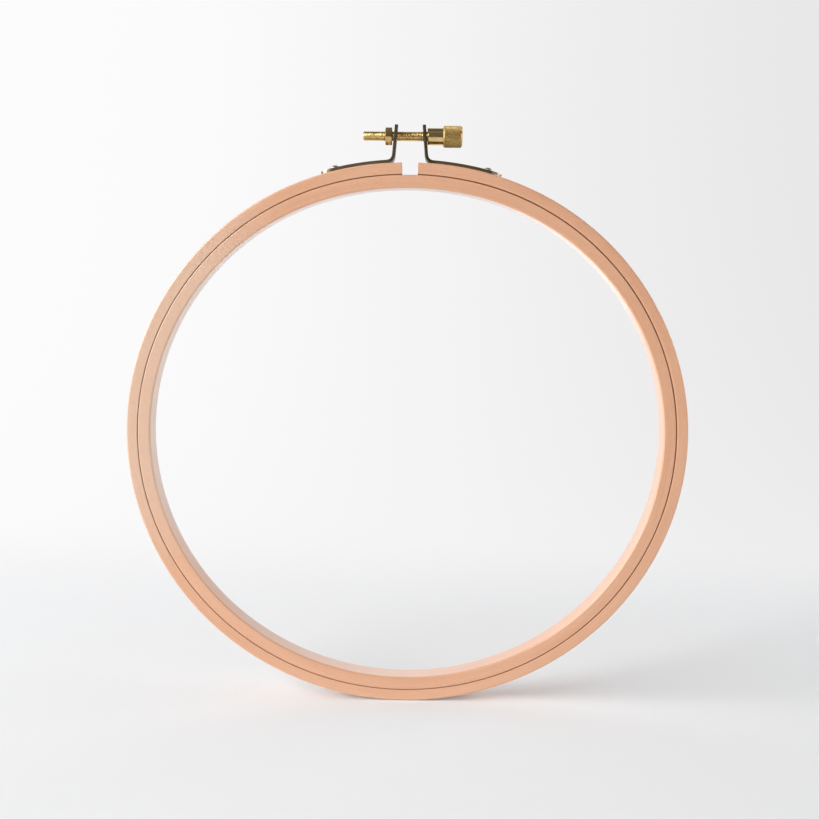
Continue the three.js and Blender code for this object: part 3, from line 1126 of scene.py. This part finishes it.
def thumbScrew():
    s = screwSettings
    piece = threadedShank(neckStart + s["shankInNeck"])
    combine(piece, screwNeck(), "UNION")
    combine(piece, knurledHead(), "UNION")
    across = math.radians(s["slotTurn"])
    way = Vector((0, math.cos(across), -math.sin(across)))
    slotEnds = [Vector((screwHigh.x, 0, screwZ)) + way * side * 2 * s["headRadius"] for side in (-1, 1)]
    wide = way.cross(Vector((1, 0, 0))) * s["slotWidth"] / 2
    deep = Vector((s["slotDepth"], 0, 0))
    corners = []
    for end in slotEnds:
        corners += [end - deep - wide, end + deep - wide, end + deep + wide, end - deep + wide]
    faces = [(0, 1, 2, 3), (4, 7, 6, 5), (0, 4, 5, 1), (1, 5, 6, 2), (2, 6, 7, 3), (3, 7, 4, 0)]
    combine(piece, makePiece("slotCutter", corners, faces), "DIFFERENCE")
    piece.name = "thumbScrew"
    mesh = piece.data
    cleanMesh(mesh)
    shadeMesh(mesh, smoothAngle=32)
    mesh.materials.clear()
    mesh.materials.append(screwBrass)
    mesh.materials.append(knurlBrass)
    for face in mesh.polygons:
        fromAxis = math.hypot(face.center.y, face.center.z - screwZ * mm)
        face.material_index = 1 if fromAxis > s["mattFrom"] * mm else 0
    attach(piece, "screw")
    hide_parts("thumb_screw")


# The nut: a hexagon with its corners turned off at both faces

nutSettings = {
    "acrossFlats": 5.5,
    "chamferAngle": 30.0,
    "turn": 11.0,
    "boreRadius": 1.59,
    "boreChamfer": 0.28,
    "stepsPerFlat": 14,
    "edge": 0.06,
    # how the edge's middle lies, as shares of the edge along the axis and in from the corner
    "edgeMiddle": (0.3, 0.2),
}


def nutColumn(away):
    # (along the axis, radius) pairs round the nut's section, at an angle from the middle of a flat
    s = nutSettings
    thickness = nutHigh.x - nutLow.x
    edge = s["edge"]
    flat = s["acrossFlats"] / 2
    slope = math.tan(math.radians(s["chamferAngle"]))
    corner = flat / math.cos(away)
    drop = (corner - flat) * slope
    column = [
        (s["boreChamfer"], s["boreRadius"]),
        (0.0, s["boreRadius"] + s["boreChamfer"]),
        (0.0, flat - edge),
        (edge * slope, flat),
        (drop + edge * s["edgeMiddle"][0], corner - edge * s["edgeMiddle"][1]),
        (drop + edge, corner),
    ]
    return column + [(thickness - along, radius) for along, radius in reversed(column)]


def hexNut():
    s = nutSettings
    count = 6 * s["stepsPerFlat"]
    points = []
    for k in range(count):
        turn = 360 * k / count
        for along, radius in nutColumn(math.radians(turn % 60 - 30)):
            points.append(aroundScrew(nutLow.x + along, radius, math.radians(turn + s["turn"])))
    faces = gridFaces(count, len(points) // count, closeRows=True, closeColumns=True)
    piece = makePiece("hexNut", points, faces, smoothAngle=25)
    piece.data.materials.append(nutBrass)
    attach(piece, "nut")
    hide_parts("hex_nut")


thumbScrew()
hexNut()
print("thumb screw and nut made")


# Stage: a sweep of pale paper in a dim room, with a big softbox at the left and a faint one at the right

stageSettings = {
    "paper": "#EFF0F1",
    "roughness": 0.9,
    "shine": 0.1,
    # painted light falloff on the backdrop: lighter at the left, darker at the right
    "paintedLitLeft": "#FDFCFD",
    "paintedShadeRight": "#E7E7E8",
    "falloffFrom": -0.4,
    "falloffTo": 0.55,
    "backdropStart": 0.03,
    "backdropFull": 0.23,
    "floorShare": 0.1,
    "halfWidth": 2.5,
    "front": -0.62,
    "sidesFrom": 0.7,
    "sidesTo": 1.4,
    "frontFrom": 0.3,
    "frontTo": -0.1,
    "edgeFrom": 0.34,
    "edgeTo": 0.5,
    "bendStart": 0.35,
    "bendRadius": 0.5,
    "bendSteps": 24,
    "top": 1.1,
}

roomSettings = {
    "pale": "#EDEEEF",
    "plain": "#FFFFFF",
    "dim": 0.13,
    "walls": 0.17,
    "ceiling": 0.28,
    "ceilingFrom": (0.7, 0.8),
    "ceilingTo": (0.86, 0.94),
    "paleTo": (0.25, 0.5),
    "frontFrom": (-0.7, -0.3),
}


def paperSweep(s):
    profile = [(s["front"], 0.0)]
    for i in range(s["bendSteps"] + 1):
        angle = math.pi / 2 * i / s["bendSteps"]
        along = s["bendStart"] + s["bendRadius"] * math.sin(angle)
        profile.append((along, s["bendRadius"] * (1 - math.cos(angle))))
    profile.append((s["bendStart"] + s["bendRadius"], s["top"]))
    points = []
    for y, z in profile:
        points += [(-s["halfWidth"] / mm, y / mm, z / mm), (s["halfWidth"] / mm, y / mm, z / mm)]
    sweep = makePiece("paperSweep", points, gridFaces(len(profile), 2), smoothAngle=60)
    sweep.data.materials.append(mattPaper(s))


def mattPaper(s):
    # the floor is lit; behind the hoop the eye and the metal see a pale backdrop instead, its glow
    # painted lighter at the left and darker at the right as the left softbox's light falls off
    finish = {
        "Base Color": hexColor(s["paper"]),
        "Roughness": s["roughness"],
        "Specular IOR Level": s["shine"],
    }
    material, tree, shader = newMaterial("mattPaper", finish)
    where = addNode(tree, "ShaderNodeNewGeometry")
    place = addNode(tree, "ShaderNodeSeparateXYZ", None, {"Vector": where.outputs["Position"]})
    x, y = place.outputs["X"], place.outputs["Y"]
    aside = addNode(tree, "ShaderNodeMath", {"operation": "ABSOLUTE"}, {0: x})
    onFloor = addNode(tree, "ShaderNodeCombineXYZ", None, {"X": x, "Y": y})
    outward = addNode(
        tree, "ShaderNodeVectorMath", {"operation": "LENGTH"}, {0: onFloor.outputs["Vector"]}
    )
    rays = addNode(tree, "ShaderNodeLightPath")
    values = {
        "camera": rays.outputs["Is Camera Ray"],
        "through": rays.outputs["Is Transmission Ray"],
        "glossy": rays.outputs["Is Glossy Ray"],
    }
    # smooth changes from one level to another, with the place on the paper
    for part, source, start, end, low, high in (
        ("sideways", x, s["falloffFrom"], s["falloffTo"], 0.0, 1.0),
        ("toSides", aside.outputs["Value"], s["sidesFrom"], s["sidesTo"], 0.0, 1.0),
        ("toFront", y, s["frontTo"], s["frontFrom"], 1.0, 0.0),
        ("behind", y, s["backdropStart"], s["backdropFull"], s["floorShare"], 1.0),
        ("nearEdge", outward.outputs["Value"], s["edgeFrom"], s["edgeTo"], 0.0, 1.0),
    ):
        ramp = {"From Min": start, "From Max": end, "To Min": low, "To Max": high}
        ramp["interpolation_type"] = "SMOOTHSTEP"
        values[part] = addNode(tree, "ShaderNodeMapRange", ramp, {"Value": source}).outputs["Result"]
    # the backdrop turns into the room's one pale colour towards the sides and the front
    # towards the paper's edges the eye sees that colour on the floor too
    for part, operation, first, second in (
        ("away", "MAXIMUM", "toSides", "toFront"),
        ("seen", "MAXIMUM", "camera", "through"),
        ("seenOrMirrored", "MAXIMUM", "seen", "glossy"),
        ("behindShare", "MULTIPLY", "behind", "seenOrMirrored"),
        ("edgeShare", "MULTIPLY", "nearEdge", "seen"),
        ("share", "MAXIMUM", "behindShare", "edgeShare"),
    ):
        pair = {0: values[first], 1: values[second]}
        values[part] = addNode(tree, "ShaderNodeMath", {"operation": operation}, pair).outputs["Value"]
    # the backdrop's glow carries painted light falloff, lighter at the left and darker at the right
    glow = addNode(
        tree,
        "ShaderNodeMix",
        {"data_type": "RGBA", 6: hexColor(s["paintedLitLeft"]), 7: hexColor(s["paintedShadeRight"])},
        {0: values["sideways"]},
    )
    around = addNode(
        tree,
        "ShaderNodeMix",
        {"data_type": "RGBA", 7: hexColor(roomSettings["pale"])},
        {0: values["away"], 6: glow.outputs[2]},
    )
    backdrop = addNode(tree, "ShaderNodeEmission", {"Strength": 1.0}, {"Color": around.outputs[2]})
    mixed = addNode(
        tree,
        "ShaderNodeMixShader",
        None,
        {0: values["share"], 1: shader.outputs["BSDF"], 2: backdrop.outputs["Emission"]},
    )
    output = next(node for node in tree.nodes if node.type == "OUTPUT_MATERIAL")
    tree.links.new(mixed.outputs["Shader"], output.inputs["Surface"])
    return material


lightSettings = {
    "left": {"place": (-1.35, -0.63, 0.79), "size": (1.5, 1.1), "power": 38.0, "colour": "#FFFFFF"},
    "right": {"place": (1.25, 0.1, 0.45), "size": (0.9, 0.7), "power": 7.0, "colour": "#FFFFFF"},
}
lightAim = Vector((0, 0, 0.09))  # about the middle of the hoop


def softLight(name, s, aim):
    data = bpy.data.lights.new(name, "AREA")
    data.shape = "RECTANGLE"
    data.size, data.size_y = s["size"]
    data.energy = s["power"]
    data.color = hexColor(s["colour"])[:3]
    lamp = bpy.data.objects.new(name, data)
    bpy.context.scene.collection.objects.link(lamp)
    place = Vector(s["place"])
    turn = (aim - place).to_track_quat("-Z", "Y").to_matrix().to_4x4()
    lamp.matrix_world = Matrix.Translation(place) @ turn


def studioRoom(s):
    # to the eye the room is pale all round
    # in the metal only its back and its sides are pale, and its front and its ceiling are dim
    world = bpy.data.worlds.new("studioRoom")
    bpy.context.scene.world = world
    world.use_nodes = True
    tree = world.node_tree
    tree.nodes.clear()
    way = addNode(tree, "ShaderNodeTexCoord")
    split = addNode(tree, "ShaderNodeSeparateXYZ", None, {"Vector": way.outputs["Generated"]})
    rays = addNode(tree, "ShaderNodeLightPath")
    values = {
        "camera": rays.outputs["Is Camera Ray"],
        "through": rays.outputs["Is Transmission Ray"],
        "glossy": rays.outputs["Is Glossy Ray"],
    }
    # smooth changes from one level to another, along one axis of the way a ray goes
    for part, axis, limits, low, high in (
        ("rising", "Z", s["ceilingFrom"], s["dim"], s["ceiling"]),
        ("falling", "Z", s["ceilingTo"], s["ceiling"], s["dim"]),
        ("notFront", "Y", s["frontFrom"], 0.0, 1.0),
        ("notTop", "Z", s["paleTo"], 1.0, 0.0),
    ):
        ramp = {"From Min": limits[0], "From Max": limits[1], "To Min": low, "To Max": high}
        ramp["interpolation_type"] = "SMOOTHSTEP"
        change = addNode(tree, "ShaderNodeMapRange", ramp, {"Value": split.outputs[axis]})
        values[part] = change.outputs["Result"]
    for part, operation, first, second in (
        ("dim", "MINIMUM", "rising", "falling"),
        ("paleWay", "MULTIPLY", "notFront", "notTop"),
        ("mirrored", "MULTIPLY", "paleWay", "glossy"),
        ("seen", "MAXIMUM", "camera", "through"),
        ("share", "MAXIMUM", "mirrored", "seen"),
    ):
        pair = {0: values[first], 1: values[second]}
        values[part] = addNode(tree, "ShaderNodeMath", {"operation": operation}, pair).outputs["Value"]
    # the walls give the paper and the wood more light than the metal mirrors
    level = addNode(
        tree,
        "ShaderNodeMix",
        {"data_type": "FLOAT", 2: s["walls"]},
        {0: values["glossy"], 3: values["dim"]},
    )
    room = addNode(
        tree, "ShaderNodeBackground", {"Color": hexColor(s["plain"])}, {"Strength": level.outputs[0]}
    )
    pale = addNode(tree, "ShaderNodeBackground", {"Color": hexColor(s["pale"]), "Strength": 1.0})
    both = addNode(
        tree,
        "ShaderNodeMixShader",
        None,
        {0: values["share"], 1: room.outputs["Background"], 2: pale.outputs["Background"]},
    )
    addNode(tree, "ShaderNodeOutputWorld", None, {"Surface": both.outputs["Shader"]})


paperSweep(stageSettings)
for lightName, lightValues in lightSettings.items():
    softLight(lightName + "Softbox", lightValues, lightAim)
studioRoom(roomSettings)
bpy.context.scene.view_settings.view_transform = "Standard"
print("stage made")
